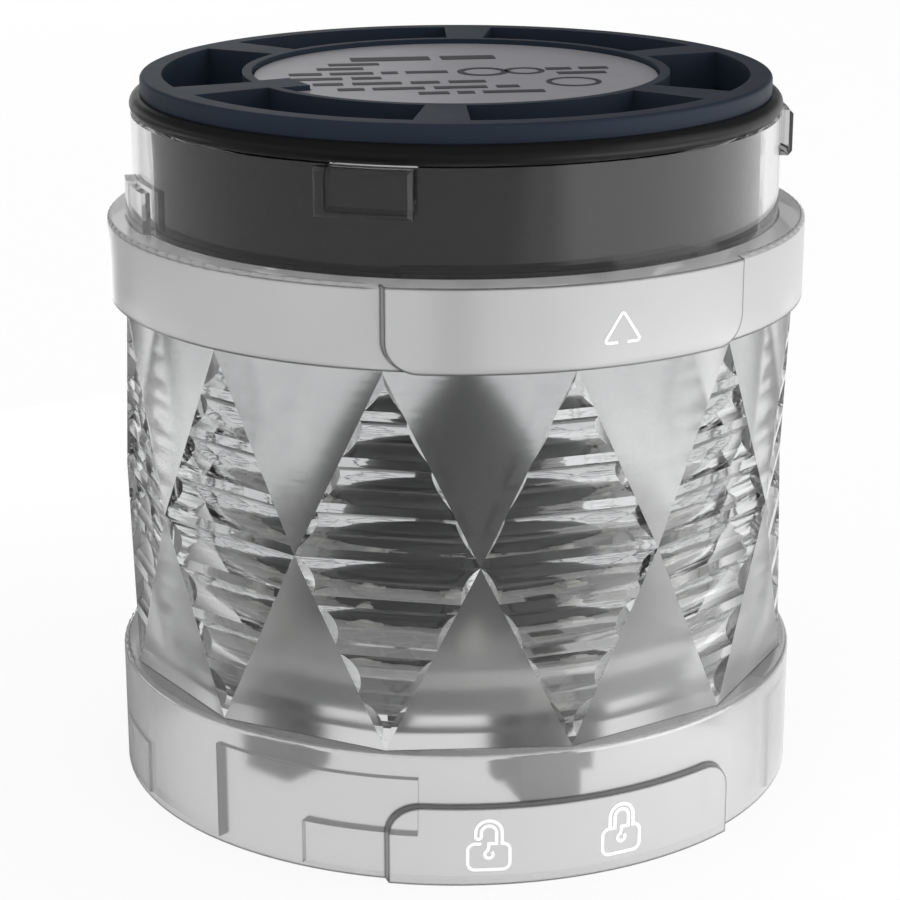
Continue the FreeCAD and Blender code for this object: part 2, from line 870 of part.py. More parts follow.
def head_board():
    """The board in the head cup, which carries the blades and is cut away round the cup's posts."""
    radius = "cup_radius - cup_wall - head_board_fit"
    disc = cylinder("head_board_disc", radius, "head_board_bottom", "head_board_top")
    room = "post_radius + head_board_fit"
    hole = upright("head_board_hole", room, "cover_screw_pitch", "cup_bottom", "neck_top")
    return cut("head_board", disc, around("head_board_hole", hole, "screw_count", "cover_screw_azimuth"))


def led():
    """A square package with a round lens on top."""
    package = block(
        "led_package",
        "led_size",
        "led_pitch_radius - led_size / 2",
        "led_pitch_radius + led_size / 2",
        "led_board_top",
        "led_board_top + led_height",
    )
    dome = doc.addObject("Part::Sphere", "led_dome")
    rules = {
        "Radius": "led_lens_radius",
        "Placement.Base.y": "0 - led_pitch_radius",
        "Placement.Base.z": "led_board_top + led_height",
    }
    return fuse("led", [package, bind(dome, rules)])


def plug_clip():
    """A spring clip in a plug shroud: two leaves that pinch towards their mouth, on a tail to the board."""
    width = "contact_width"
    inner = "plug_pitch_radius - contact_gap / 2"
    outer = "plug_pitch_radius + contact_gap / 2"
    inmost = inner + " - contact_thickness"
    outmost = outer + " + contact_thickness"
    mouth = "plug_bottom_height + contact_inset"
    inner_leaf = block("inner_leaf", width, inmost, inner, mouth, "led_board_top")
    outer_leaf = block("outer_leaf", width, outer, outmost, mouth, "led_board_top")
    bridge_bottom = "led_board_top - contact_thickness"
    bridge = block("clip_bridge", width, inmost, outmost, bridge_bottom, "led_board_top")
    return fuse("plug_clip", [inner_leaf, outer_leaf, bridge])


def head_blade():
    """A blade on the head board, which the clip of the tier above slides over."""
    return block(
        "head_blade",
        "contact_width",
        "plug_pitch_radius - contact_gap / 2",
        "plug_pitch_radius + contact_gap / 2",
        "head_board_top",
        "head_board_top + blade_height",
    )


def link_bar():
    """A flat bar inside the mast, from the LED board up to the head board."""
    return block(
        "link_bar",
        "link_width",
        "link_pitch_radius - link_thickness / 2",
        "link_pitch_radius + link_thickness / 2",
        "led_board_top",
        "head_board_bottom",
    )


def each_copy(name, master, count="circuit_count", first="first_plug_azimuth"):
    """Evenly spaced copies of a piece, each a sub-part of its own."""
    for number, copy in enumerate(around(name, master, count, first), start=1):
        piece(f"{name}_{number}", copy)


piece("led_board", led_board())
piece("head_board", head_board())
each_copy("plug_clip", plug_clip())
each_copy("head_blade", head_blade())
each_copy("link_bar", link_bar())
each_copy("led", led(), "facet_count", "180 / facet_count")

# ---------------------------------------------------------------------------------------------------------
# Driver parts under the reflector
# ---------------------------------------------------------------------------------------------------------


def board_block(name, length, width, height, azimuth):
    """A square part on the LED board, at the driver's pitch radius."""
    body = block(
        name + "_block",
        length,
        f"driver_pitch_radius - ({width}) / 2",
        f"driver_pitch_radius + ({width}) / 2",
        "led_board_top",
        f"led_board_top + {height}",
    )
    return piece(name, at_azimuth(name + "_placed", body, azimuth))


board_block("driver_chip", "chip_length", "chip_width", "chip_height", "chip_azimuth")
board_block("bridge_rectifier", "bridge_length", "bridge_width", "bridge_height", "bridge_azimuth")
board_block("choke_coil", "coil_side", "coil_side", "coil_height", "coil_azimuth")
board_block("fuse", "fuse_length", "fuse_width", "fuse_height", "fuse_azimuth")
for name in ("input_capacitor", "output_capacitor"):
    can_top = "led_board_top + capacitor_height"
    can = upright(name + "_can", "capacitor_radius", "driver_pitch_radius", "led_board_top", can_top)
    piece(name, at_azimuth(name + "_placed", can, name + "_azimuth"))

# ---------------------------------------------------------------------------------------------------------
# Reflector cone with its mast
# ---------------------------------------------------------------------------------------------------------


def reflector():
    """A hollow, round-sided cone over the driver parts, with a mast to the head and screw posts under it."""
    foot = "cone_base_radius - cone_wall"
    bore = "mast_radius - mast_wall"
    inner_side = ("cone_middle_radius - cone_wall", "cone_middle_height")
    cone = turning(
        "cone",
        [
            ("cone_base_radius", "led_board_top"),
            ("mast_radius", "mast_foot_height"),
            ("mast_radius", "head_board_bottom"),
            (bore, "head_board_bottom"),
            (bore, "mast_foot_height - cone_wall"),
            (foot, "led_board_top"),
        ],
        {0: ("cone_middle_radius", "cone_middle_height"), 4: inner_side},
    )
    pitch = "base_screw_pitch"
    blank = upright("cone_post_blank", "post_radius", pitch, "led_board_top", "mast_foot_height")
    hole_top = "lip_top + screw_length"
    hole = upright("cone_post_hole", "screw_radius", pitch, "led_board_top - cut_past", hole_top)
    post = cut("cone_post", blank, [hole])
    room = turning(
        "room_under_cone",
        [
            ("0", "led_board_top"),
            (foot + " + sink", "led_board_top"),
            ("mast_radius", "mast_foot_height - cone_wall"),
            ("0", "mast_foot_height - cone_wall"),
        ],
        {1: ("cone_middle_radius - cone_wall + sink", "cone_middle_height")},
    )
    trimmed = common("cone_post_trimmed", [post, room])
    return fuse("reflector", [cone] + around("cone_post", trimmed, "screw_count", "base_screw_azimuth"))


piece("reflector", reflector())

# ---------------------------------------------------------------------------------------------------------
# Screws
# ---------------------------------------------------------------------------------------------------------


def screw(name, pitch, seat, head_down):
    """A flat-headed screw at a pitch radius. Its shank leaves the seat upwards where the head is down."""
    sign = "-" if head_down else "+"
    other = "+" if head_down else "-"
    head_end = f"{seat} {sign} screw_head_height"
    tip = f"{seat} {other} screw_length"
    low_head, high_head = (head_end, seat) if head_down else (seat, head_end)
    low_shank, high_shank = (seat, tip) if head_down else (tip, seat)
    head = upright(name + "_head", "screw_head_radius", pitch, low_head, high_head)
    shank = upright(name + "_shank", "screw_radius - thread_gap", pitch, low_shank, high_shank)
    low_socket, high_socket = (
        (f"{head_end} - cut_past", f"{head_end} + screw_socket_depth")
        if head_down
        else (f"{head_end} - screw_socket_depth", f"{head_end} + cut_past")
    )
    socket = doc.addObject("Part::Prism", name + "_socket")
    rules = {
        "Circumradius": "screw_socket_radius",
        "Height": f"({high_socket}) - ({low_socket})",
        "Placement.Base.y": f"0 - {pitch}",
        "Placement.Base.z": low_socket,
    }
    return cut(name + "_master", fuse(name + "_blank", [head, shank]), [bind(socket, rules)])


base_screw = screw("base_screw", "base_screw_pitch", "lip_top", True)
cover_screw = screw("cover_screw", "cover_screw_pitch", "label_floor - screw_head_height", False)
each_copy("base_screw", base_screw, "screw_count", "base_screw_azimuth")
each_copy("cover_screw", cover_screw, "screw_count", "cover_screw_azimuth")

# ---------------------------------------------------------------------------------------------------------
# Check and write
# ---------------------------------------------------------------------------------------------------------

doc.recompute()
for feature in doc.Objects:
    if "Invalid" in feature.State or "Error" in feature.State:
        raise RuntimeError(f"{feature.Label} failed: {feature.State}")
os.makedirs("parts", exist_ok=True)
for name, feature in PIECES:
    shape = feature.Shape
    if shape.isNull() or not shape.isValid() or not shape.Solids:
        raise RuntimeError(f"{name} has no valid solid")
    shape.exportStep(f"parts/{name}.step")
    print(f"{name}: {len(shape.Solids)} solid, {shape.Volume:.1f} mm3")
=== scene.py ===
# %% [markdown]
# # One tier of a stack light
# A stack light is a column of light tiers that push together and turn to lock. This tier is a
# clear, faceted lens moulding. Its ring grips the neck of the tier below, and its own neck holds
# a dark cup, a rubber ring and a spoked cover. The solids come from a CAD model, as a fixed
# frame, so nothing here moves or resizes them. What is left to Blender is the looks: plastics,
# rubber, boards, printed marks, light and camera.

# %% Load the frame
import json
import math

import bmesh
import bpy
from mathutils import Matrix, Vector


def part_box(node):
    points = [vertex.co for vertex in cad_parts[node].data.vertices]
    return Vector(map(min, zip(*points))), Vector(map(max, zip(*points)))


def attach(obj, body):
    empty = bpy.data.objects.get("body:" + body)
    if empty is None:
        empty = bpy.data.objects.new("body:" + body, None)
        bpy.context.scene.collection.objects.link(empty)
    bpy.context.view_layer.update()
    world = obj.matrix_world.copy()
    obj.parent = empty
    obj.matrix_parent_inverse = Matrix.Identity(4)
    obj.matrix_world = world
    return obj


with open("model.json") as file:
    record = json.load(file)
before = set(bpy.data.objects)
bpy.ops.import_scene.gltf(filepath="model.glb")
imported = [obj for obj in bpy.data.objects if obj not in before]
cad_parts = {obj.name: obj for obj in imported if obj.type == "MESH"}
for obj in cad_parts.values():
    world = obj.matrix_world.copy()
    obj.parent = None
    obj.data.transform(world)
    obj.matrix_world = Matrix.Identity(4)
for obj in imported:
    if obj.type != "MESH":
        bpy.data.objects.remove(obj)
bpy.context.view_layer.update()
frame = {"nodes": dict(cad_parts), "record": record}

nodes = frame["nodes"]

# %% [markdown]
# ## Places
# Blender works in metres, so a length in millimetres is written as a number times MM. Where
# something has to meet a CAD part, its place is read from that part's box. The azimuth of a point
# is its angle about the axis, counted from the middle of the grip tabs, which face -Y.

# %% Places read from the frame
MM = 0.001
lens_low, lens_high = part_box("lens_body")
label_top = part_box("rating_label")[1].z
tab_radius = -lens_low.y
ring_radius = lens_high.x


def on_cylinder(radius, azimuth, height):
    """The point at a radius, an azimuth in radians and a height."""
    return Vector((radius * math.sin(azimuth), -radius * math.cos(azimuth), height))


print("ring radius:", round(ring_radius / MM, 2), "tab radius:", round(tab_radius / MM, 2))
print("top of the label:", round(label_top / MM, 2))

# %% [markdown]
# ## Materials
# Every finish is made of shader nodes, so it needs no picture and follows the part at any size. A
# small helper makes a material and hands over its Principled shader. The others add what most
# moulded parts share: noise in the part's own space, a fine bump, and edges that look a little
# round, because no mould cuts a perfect corner.

# %% Start a material
def start_material(name, color, roughness):
    """A new material with its colour and roughness, its node tree and its shader."""
    material = bpy.data.materials.new(name)
    material.use_nodes = True
    shader = material.node_tree.nodes["Principled BSDF"]
    shader.inputs["Base Color"].default_value = (*color, 1.0)
    shader.inputs["Roughness"].default_value = roughness
    return material, material.node_tree, shader


# %% [markdown]
# No moulding has quite the same shine and tone all over. A picture of stains would do, but noise
# has no seams and no edge, and needs no unwrapping. It is read in the part's own space, so its
# patches have a real size in millimetres. It moves the roughness and the colour by a few
# hundredths.

# %% Noise
def add_noise(tree, size_mm, detail=3.0):
    """Noise whose patches are about size_mm wide."""
    place = tree.nodes.new("ShaderNodeTexCoord")
    noise = tree.nodes.new("ShaderNodeTexNoise")
    noise.inputs["Scale"].default_value = 1.0 / (size_mm * MM)
    noise.inputs["Detail"].default_value = detail
    tree.links.new(place.outputs["Object"], noise.inputs["Vector"])
    return noise.outputs["Fac"]


def add_range(tree, source, low, high):
    """Spreads a 0 to 1 value between two others."""
    spread = tree.nodes.new("ShaderNodeMapRange")
    spread.inputs["To Min"].default_value = low
    spread.inputs["To Max"].default_value = high
    tree.links.new(source, spread.inputs["Value"])
    return spread.outputs["Result"]


def vary_roughness(tree, shader, size_mm, low, high):
    """Lets the shine come and go over patches of size_mm."""
    shine = add_range(tree, add_noise(tree, size_mm), low, high)
    tree.links.new(shine, shader.inputs["Roughness"])


def vary_tone(tree, shader, color, size_mm, share):
    """Lets the colour drift lighter and darker by a share of itself."""
    tone = tree.nodes.new("ShaderNodeMix")
    tone.data_type = "RGBA"
    tone.inputs["A"].default_value = (*[part * (1 - share) for part in color], 1.0)
    tone.inputs["B"].default_value = (*[part * (1 + share) for part in color], 1.0)
    tree.links.new(add_noise(tree, size_mm), tone.inputs["Factor"])
    tree.links.new(tone.outputs["Result"], shader.inputs["Base Color"])


# %% [markdown]
# The spark that erodes a mould leaves a grain that the plastic copies. A Bump node tilts the
# surface by a height without moving it, which is enough for hundredths of a millimetre. A Bevel
# node under it rounds the edges in the same way, because real edges catch a thin line of light.

# %% Grain
BEVEL_SAMPLES = 4


def add_grain(tree, shader, size_mm, depth_mm, edge_mm=0.0):
    """A bumpy grain, over edges that look round by edge_mm."""
    bump = tree.nodes.new("ShaderNodeBump")
    bump.inputs["Distance"].default_value = depth_mm * MM
    tree.links.new(add_noise(tree, size_mm), bump.inputs["Height"])
    if edge_mm:
        bevel = tree.nodes.new("ShaderNodeBevel")
        bevel.samples = BEVEL_SAMPLES
        bevel.inputs["Radius"].default_value = edge_mm * MM
        tree.links.new(bevel.outputs["Normal"], bump.inputs["Normal"])
    tree.links.new(bump.outputs["Normal"], shader.inputs["Normal"])


print("samples of a rounded edge:", BEVEL_SAMPLES)

# %% [markdown]
# ### Clear plastic
# The lens is clear polycarbonate, whose refractive index is 1.585. Two things keep it from
# looking like glass. It is a little grey, so a colour below white is set on a transmissive
# shader. And only parts of the mould are polished: the scoops and the inside are, while the flat
# facets have a light texture that blurs what is behind them, and the grip bands have a heavier
# one that looks milky. The blur is the roughness. The milky look is a transmission weight below
# one, so that some of the light scatters at the surface.
#
# A path tracer finds it hard to send lamp light through a solid wall, so the inside would stay
# black. The usual cure is to mix in a Transparent shader for shadow rays only.

# %% Clear plastic
CLEAR_INDEX = 1.585
SHADOW_COLOR = (0.93, 0.93, 0.93, 1.0)


def clear_plastic(name, color, roughness, transmission):
    """Clear plastic, and its node tree and shader."""
    material, tree, shader = start_material(name, color, roughness)
    shader.inputs["Transmission Weight"].default_value = transmission
    shader.inputs["IOR"].default_value = CLEAR_INDEX
    path = tree.nodes.new("ShaderNodeLightPath")
    through = tree.nodes.new("ShaderNodeBsdfTransparent")
    through.inputs["Color"].default_value = SHADOW_COLOR
    mix = tree.nodes.new("ShaderNodeMixShader")
    tree.links.new(path.outputs["Is Shadow Ray"], mix.inputs[0])
    tree.links.new(shader.outputs["BSDF"], mix.inputs[1])
    tree.links.new(through.outputs["BSDF"], mix.inputs[2])
    tree.links.new(mix.outputs["Shader"], tree.nodes["Material Output"].inputs["Surface"])
    return material, tree, shader


print("refractive index:", CLEAR_INDEX)

# %% [markdown]
# The edges of the milky bands look like thin dark lines, because light that enters a wall near
# its edge is turned away inside it. Tracing that through frosted walls is slow and noisy, so it
# is drawn with a trick. The Bevel node gives the normal that the surface would have if its edges
# were round. Where that differs from the true one there is an edge, and the difference is used to
# darken the plastic.

# %% Dark edges
EDGE_COLOR = (0.03, 0.03, 0.03)
EDGE_WIDTH_MM = 0.34
EDGE_STARTS = 0.992
EDGE_FULL = 0.975
EDGE_BEVEL_SAMPLES = 6


def darken_edges(tree, shader, color):
    """Lets the colour fall to the edge colour close to an edge."""
    bevel = tree.nodes.new("ShaderNodeBevel")
    bevel.samples = EDGE_BEVEL_SAMPLES
    bevel.inputs["Radius"].default_value = EDGE_WIDTH_MM * MM
    surface = tree.nodes.new("ShaderNodeNewGeometry")
    likeness = tree.nodes.new("ShaderNodeVectorMath")
    likeness.operation = "DOT_PRODUCT"
    tree.links.new(bevel.outputs["Normal"], likeness.inputs[0])
    tree.links.new(surface.outputs["Normal"], likeness.inputs[1])
    edge = tree.nodes.new("ShaderNodeMapRange")
    edge.inputs["From Min"].default_value = EDGE_STARTS
    edge.inputs["From Max"].default_value = EDGE_FULL
    tree.links.new(likeness.outputs["Value"], edge.inputs["Value"])
    tone = tree.nodes.new("ShaderNodeMix")
    tone.data_type = "RGBA"
    tone.inputs["A"].default_value = (*color, 1.0)
    tone.inputs["B"].default_value = (*EDGE_COLOR, 1.0)
    tree.links.new(edge.outputs["Result"], tone.inputs["Factor"])
    tree.links.new(tone.outputs["Result"], shader.inputs["Base Color"])


print("width of a dark edge in mm:", EDGE_WIDTH_MM)

# %% [markdown]
# The polished scoops are not quite even. Plastic that cools in the mould keeps faint level waves,
# and clear plastic shows them as streaks. They could be modelled, but they are far too shallow to
# show in an outline. So they are noise, squeezed upwards by a Mapping node, that tilts the
# surface by a Bump node.

# %% Polished scoops
POLISHED_COLOR = (0.8, 0.805, 0.81)
POLISHED_ROUGHNESS = 0.05
STREAK_MM = (4.0, 4.0, 0.5)
STREAK_DEPTH_MM = 0.018


def polished_finish():
    """Polished plastic with faint waves, which are long sideways and short upwards."""
    finish = clear_plastic("lens_polished", POLISHED_COLOR, POLISHED_ROUGHNESS, 1.0)
    material, tree, shader = finish
    place = tree.nodes.new("ShaderNodeTexCoord")
    stretch = tree.nodes.new("ShaderNodeMapping")
    stretch.inputs["Scale"].default_value = [1.0 / (length * MM) for length in STREAK_MM]
    streaks = tree.nodes.new("ShaderNodeTexNoise")
    streaks.inputs["Scale"].default_value = 1.0
    bump = tree.nodes.new("ShaderNodeBump")
    bump.inputs["Distance"].default_value = STREAK_DEPTH_MM * MM
    tree.links.new(place.outputs["Object"], stretch.inputs["Vector"])
    tree.links.new(stretch.outputs["Vector"], streaks.inputs["Vector"])
    tree.links.new(streaks.outputs["Fac"], bump.inputs["Height"])
    tree.links.new(bump.outputs["Normal"], shader.inputs["Normal"])
    return material


print("size of a streak in mm:", STREAK_MM)

# %% [markdown]
# The other finishes of the lens are plain numbers, and each is a named entry of one table. The
# lower facets have a rougher texture than the upper ones. The level tops of the bands, the bore
# of the socket and the sides of the lugs each have a finish of their own. Some of these carry
# painted light: the narrow sides of the bands get a dark grey that is painted shade, the ring's
# level top a darker grey that is painted shade, and the collar's level top a lighter grey that is
# painted light.

# %% Finishes of the lens
FACET_COLOR = (0.76, 0.763, 0.765)
FACET_TRANSMISSION = 0.97


def facet_finish(name, roughness):
    """Clear plastic with a light texture that blurs what is behind it."""
    return clear_plastic(name, FACET_COLOR, roughness, FACET_TRANSMISSION)[0]


def milky_finish(name, color, roughness, transmission):
    """Clear plastic with a heavy texture and dark edges."""
    material, tree, shader = clear_plastic(name, color, roughness, transmission)
    darken_edges(tree, shader, color)
    return material


def grey(level):
    """A colour without a hue."""
    return (level, level, level)


LENS_FINISHES = {
    "polished": polished_finish(),
    "facet": facet_finish("lens_facet", 0.25),
    "low_facet": facet_finish("lens_low_facet", 0.4),
    "ring": milky_finish("lens_ring", grey(0.61), 0.14, 0.72),
    "collar": milky_finish("lens_collar", grey(0.52), 0.3, 0.3),
    # The dark grey of the edge finish is painted shade on the narrow sides of the bands.
    "edge": milky_finish("lens_edge_painted_shade", grey(0.16), 0.3, 0.4),
    # The ring's level top is a darker grey, which is painted shade; the collar's a lighter grey,
    # painted light.
    "ring_ledge": milky_finish("lens_ring_ledge_painted_shade", grey(0.4), 0.25, 0.6),
    "collar_ledge": milky_finish("lens_collar_ledge_painted_light", grey(0.68), 0.12, 0.5),
    "lug_side": clear_plastic("lens_lug_side", grey(0.6), 0.08, 1.0)[0],
    "socket": clear_plastic("lens_socket", grey(0.86), 0.2, 0.97)[0],
    "neck": clear_plastic("lens_neck", grey(0.88), 0.0, 1.0)[0],
}
print("lens finishes:", ", ".join(LENS_FINISHES))

# %% [markdown]
# ### Where each lens finish goes
# The lens is one mesh, and each of its faces can point at its own material. A loop over the faces
# sorts them by where they are and which way they look. The ring and the collar are all that lies
# far out, below the facets and above them. A band's level top is its ledge. Its narrow side
# faces, and the end walls of the bayonet slots, are edges, while the bore that grips the neck
# below is the socket. A flat facet looks sideways at an azimuth halfway between two tips of the
# diamonds, and the waist parts the lower ones from the upper ones. Above the collar all is neck.
# The rest stays polished. No vertex moves, so the frame is left as it is.

# %% Heights and radii in the lens
RING_TOP = 11.0 * MM
WAIST = 26.7 * MM
COLLAR_BOTTOM = 42.8 * MM
NECK_BOTTOM = 49.9 * MM
NECK_RADIUS = 27.75 * MM
LIP_TOP = 13.1 * MM
BAND_RADIUS = 29.58 * MM
SLOT_RADIUS = 27.95 * MM
FILLET_DEPTH = 0.5 * MM
FACET_INSIDE = 27.3 * MM
FACET_STEP = math.radians(30.0)
FACET_SLACK = math.radians(1.0)
LEVEL = 0.999
NEARLY_UPRIGHT = 0.1
STRAIGHT_OUT = 0.9
PARTLY = 0.5
zone_heights = [round(height / MM, 1) for height in (RING_TOP, WAIST, COLLAR_BOTTOM, NECK_BOTTOM)]
print("heights that part the lens:", zone_heights)

# %% [markdown]
# Small functions hold the rules, one for each zone of the lens, so that each can be read alone.
# All of them ask how much a face looks outwards. That is the product of its direction and the way
# from the axis to it.

# %% Rules for the zones
def outwardness(face):
    """One for a face that looks straight away from the axis, zero for one that looks aside."""
    return face.normal.xy.dot(face.center.xy) / face.center.xy.length


def is_flat_facet(face):
    """A facet looks out level to a few degrees, midway between two diamond tips."""
    inside = face.center.xy.length < FACET_INSIDE or outwardness(face) < 0
    if abs(face.normal.z) > NEARLY_UPRIGHT or inside:
        return False
    azimuth = math.atan2(face.normal.x, -face.normal.y) % FACET_STEP
    return abs(azimuth - FACET_STEP / 2) < FACET_SLACK


def band_finish(face, band):
    """The finish of a face in the collar or the ring."""
    radius, height = face.center.xy.length, face.center.z
    looks_out = outwardness(face) > PARTLY
    # A level top gets a tone of its own: painted shade on the ring, painted light on the collar.
    if face.normal.z > LEVEL and height > RING_TOP - FILLET_DEPTH:
        return band + "_ledge"
    in_slot = band == "ring" and radius > SLOT_RADIUS and height < RING_TOP - FILLET_DEPTH
    # Slot ends and narrow sides get the edge finish, whose dark grey is painted shade.
    if in_slot and not looks_out:
        return "edge" if outwardness(face) > -PARTLY else "socket"
    if radius > BAND_RADIUS:
        return band if looks_out or abs(face.normal.z) > PARTLY else "edge"
    return socket_finish(face) if band == "ring" else "polished"


def neck_finish(face):
    """The neck is clear all over, and only the narrow sides of its lugs are a little duller."""
    on_lug = face.center.xy.length > NECK_RADIUS
    return "lug_side" if on_lug and outwardness(face) < STRAIGHT_OUT else "neck"


def socket_finish(face):
    """The bore of the socket and the lip above it look inwards, or down."""
    return "socket" if outwardness(face) < -PARTLY or face.normal.z < -PARTLY else "polished"


lens_mesh = nodes["lens_body"].data
print("faces that look out like a facet:", sum(is_flat_facet(face) for face in lens_mesh.polygons))

# %% [markdown]
# The zones are tried from the top down. Then every face gets the number of its finish in the
# mesh's list of materials, in one call, which is much quicker than face by face.

# %% Sort the faces of the lens
def lens_finish(face):
    """The finish of any face of the lens."""
    if face.center.z > NECK_BOTTOM:
        return neck_finish(face)
    if face.center.z > COLLAR_BOTTOM:
        return band_finish(face, "collar")
    if face.center.z <= RING_TOP:
        return band_finish(face, "ring")
    if is_flat_facet(face):
        return "facet" if face.center.z > WAIST else "low_facet"
    return socket_finish(face) if face.center.z < LIP_TOP else "polished"


finish_numbers = {name: number for number, name in enumerate(LENS_FINISHES)}
lens_mesh.materials.clear()
for finish in LENS_FINISHES.values():
    lens_mesh.materials.append(finish)
face_finishes = [lens_finish(face) for face in lens_mesh.polygons]
lens_mesh.polygons.foreach_set("material_index", [finish_numbers[name] for name in face_finishes])
print("lens faces:", {name: face_finishes.count(name) for name in LENS_FINISHES})

# %% [markdown]
# ### Matt plastics
# The cover, the cup, the cone and the shrouds of the carrier are opaque mouldings with a
# spark-eroded finish: a very fine grain that breaks the shine. A noise bump a tenth of a
# millimetre wide gives that grain, and a slow drift of tone keeps a large face from looking
# computed. The label film, the resin of the chips and the other small matt pieces are made the
# same way, with other numbers.

# %% Matt plastics
ROUGHNESS_DRIFT = 0.04
GRAIN_MM = 0.12
MOULD_EDGE_MM = 0.12


def moulded_plastic(name, color, roughness, shine=0.5, depth_mm=0.004):
    """An opaque moulding with a fine grain of some depth."""
    material, tree, shader = start_material(name, color, roughness)
    shader.inputs["Specular IOR Level"].default_value = shine
    vary_tone(tree, shader, color, size_mm=6.0, share=0.06)
    vary_roughness(tree, shader, 2.5, roughness - ROUGHNESS_DRIFT, roughness + ROUGHNESS_DRIFT)
    add_grain(tree, shader, GRAIN_MM, depth_mm, MOULD_EDGE_MM)
    return material


print("width of the grain in mm:", GRAIN_MM)


# %% [markdown]
# ### Rubber and metal
# The seal ring is wiped with grease when it is fitted, so it is darker and shinier than dry
# rubber. Plated parts are metallic, with a slightly uneven plating.

# %% Rubber and metal
RUBBER_ROUGHNESS = 0.38


def greased_rubber(name, color):
    """Dark rubber with an uneven film of grease."""
    material, tree, shader = start_material(name, color, RUBBER_ROUGHNESS)
    shader.inputs["Specular IOR Level"].default_value = 0.2
    vary_roughness(tree, shader, size_mm=1.5, low=0.3, high=0.45)
    add_grain(tree, shader, size_mm=0.25, depth_mm=0.004)
    return material


def plated_metal(name, color, roughness):
    """Metal with a thin, slightly uneven plating."""
    material, tree, shader = start_material(name, color, roughness)
    shader.inputs["Metallic"].default_value = 1.0
    vary_tone(tree, shader, color, size_mm=0.8, share=0.12)
    add_grain(tree, shader, size_mm=0.15, depth_mm=0.004, edge_mm=0.05)
    return material


print("roughness of the rubber:", RUBBER_ROUGHNESS)


# %% [markdown]
# ### Boards
# A board is glass fibre and resin under a coat of solder mask. Copper tracks under the mask show
# as slightly lighter lines, and a brick pattern with thin joints is a cheap way to draw such a
# grid.

# %% Boards
MASK_ROUGHNESS = 0.35
TRACK_ROWS_PER_METRE = 120.0
TRACK_WIDTH = 0.015
TRACK_OFFSET = 0.37
DARKER_FIELD = 0.85


def solder_mask(name, color, track):
    """A board's coat of one colour, with tracks of another under it."""
    material, tree, shader = start_material(name, color, MASK_ROUGHNESS)
    place = tree.nodes.new("ShaderNodeTexCoord")
    tracks = tree.nodes.new("ShaderNodeTexBrick")
    tracks.offset = TRACK_OFFSET
    tracks.inputs["Color1"].default_value = (*color, 1.0)
    tracks.inputs["Color2"].default_value = (*[part * DARKER_FIELD for part in color], 1.0)
    tracks.inputs["Mortar"].default_value = (*track, 1.0)
    tracks.inputs["Scale"].default_value = TRACK_ROWS_PER_METRE
    tracks.inputs["Mortar Size"].default_value = TRACK_WIDTH
    tree.links.new(place.outputs["Object"], tracks.inputs["Vector"])
    tree.links.new(tracks.outputs["Color"], shader.inputs["Base Color"])
    add_grain(tree, shader, size_mm=0.5, depth_mm=0.01, edge_mm=0.1)
    return material


print("rows of tracks in a metre:", TRACK_ROWS_PER_METRE)


# %% [markdown]
# ### Every slot of the record gets its finish
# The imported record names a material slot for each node, so one table of finishes dresses them
# all. Dressing the nodes one by one would take fifty lines. The lens has no entry, because its
# faces already have theirs.

# %% Finish of every slot
CONE_COLOR = (0.022, 0.022, 0.023)
FINISHES = {
    "cup_plastic": moulded_plastic("cup_finish", (0.01, 0.01, 0.0105), 0.4, 0.15, depth_mm=0.0005),
    "navy_plastic": moulded_plastic("navy_finish", (0.0155, 0.0235, 0.0385), 0.5, 0.15),
    "label_film": moulded_plastic("label_finish", (0.185, 0.181, 0.2), 0.35, 0.4, depth_mm=0.0005),
    "seal_rubber": greased_rubber("seal_finish", (0.007, 0.007, 0.0075)),
    "carrier_plastic": moulded_plastic("carrier_finish", (0.06, 0.06, 0.062), 0.5),
    "led_board_laminate": solder_mask("led_board_finish", (0.74, 0.74, 0.73), (0.82, 0.82, 0.8)),
    "green_laminate": solder_mask("green_board_finish", (0.012, 0.1, 0.04), (0.05, 0.2, 0.09)),
    "chip_resin": moulded_plastic("chip_finish", (0.02, 0.02, 0.022), 0.55),
    "coil_resin": moulded_plastic("coil_finish", (0.06, 0.06, 0.065), 0.6),
    "fuse_ceramic": moulded_plastic("fuse_finish", (0.7, 0.69, 0.64), 0.45),
    "capacitor_can": plated_metal("capacitor_finish", (0.6, 0.6, 0.62), 0.35),
    "reflector_finish": moulded_plastic("cone_finish", CONE_COLOR, 0.35, 0.4, depth_mm=0.002),
    "contact_brass": plated_metal("contact_finish", (0.56, 0.54, 0.5), 0.3),
    "led_package": moulded_plastic("led_finish", (0.72, 0.72, 0.68), 0.35),
    "screw_steel": plated_metal("screw_finish", (0.5, 0.5, 0.5), 0.35),
}
for part in frame["record"]["subparts"]:
    if part["material_slot"] not in FINISHES:
        continue
    mesh = nodes[part["node"]].data
    mesh.materials.clear()
    mesh.materials.append(FINISHES[part["material_slot"]])
    mesh.polygons.foreach_set("material_index", [0] * len(mesh.polygons))
print("finishes:", len(FINISHES))

# %% [markdown]
# The carrier is moulded in two shots: a clear, slightly frosted tray, and dark shrouds under it.
# The tray is seen through the lens as a pale band. The carrier is one solid, so its faces are
# sorted by height, like those of the lens.

# %% Clear tray of the carrier
TRAY_BOTTOM = 12.9 * MM
TRAY_COLOR = (0.8, 0.8, 0.79)

carrier_mesh = nodes["plug_carrier"].data
carrier_mesh.materials.append(clear_plastic("tray_finish", TRAY_COLOR, 0.25, 0.8)[0])
tray_faces = [int(face.center.z > TRAY_BOTTOM) for face in carrier_mesh.polygons]
carrier_mesh.polygons.foreach_set("material_index", tray_faces)
print("faces of the tray:", sum(tray_faces))

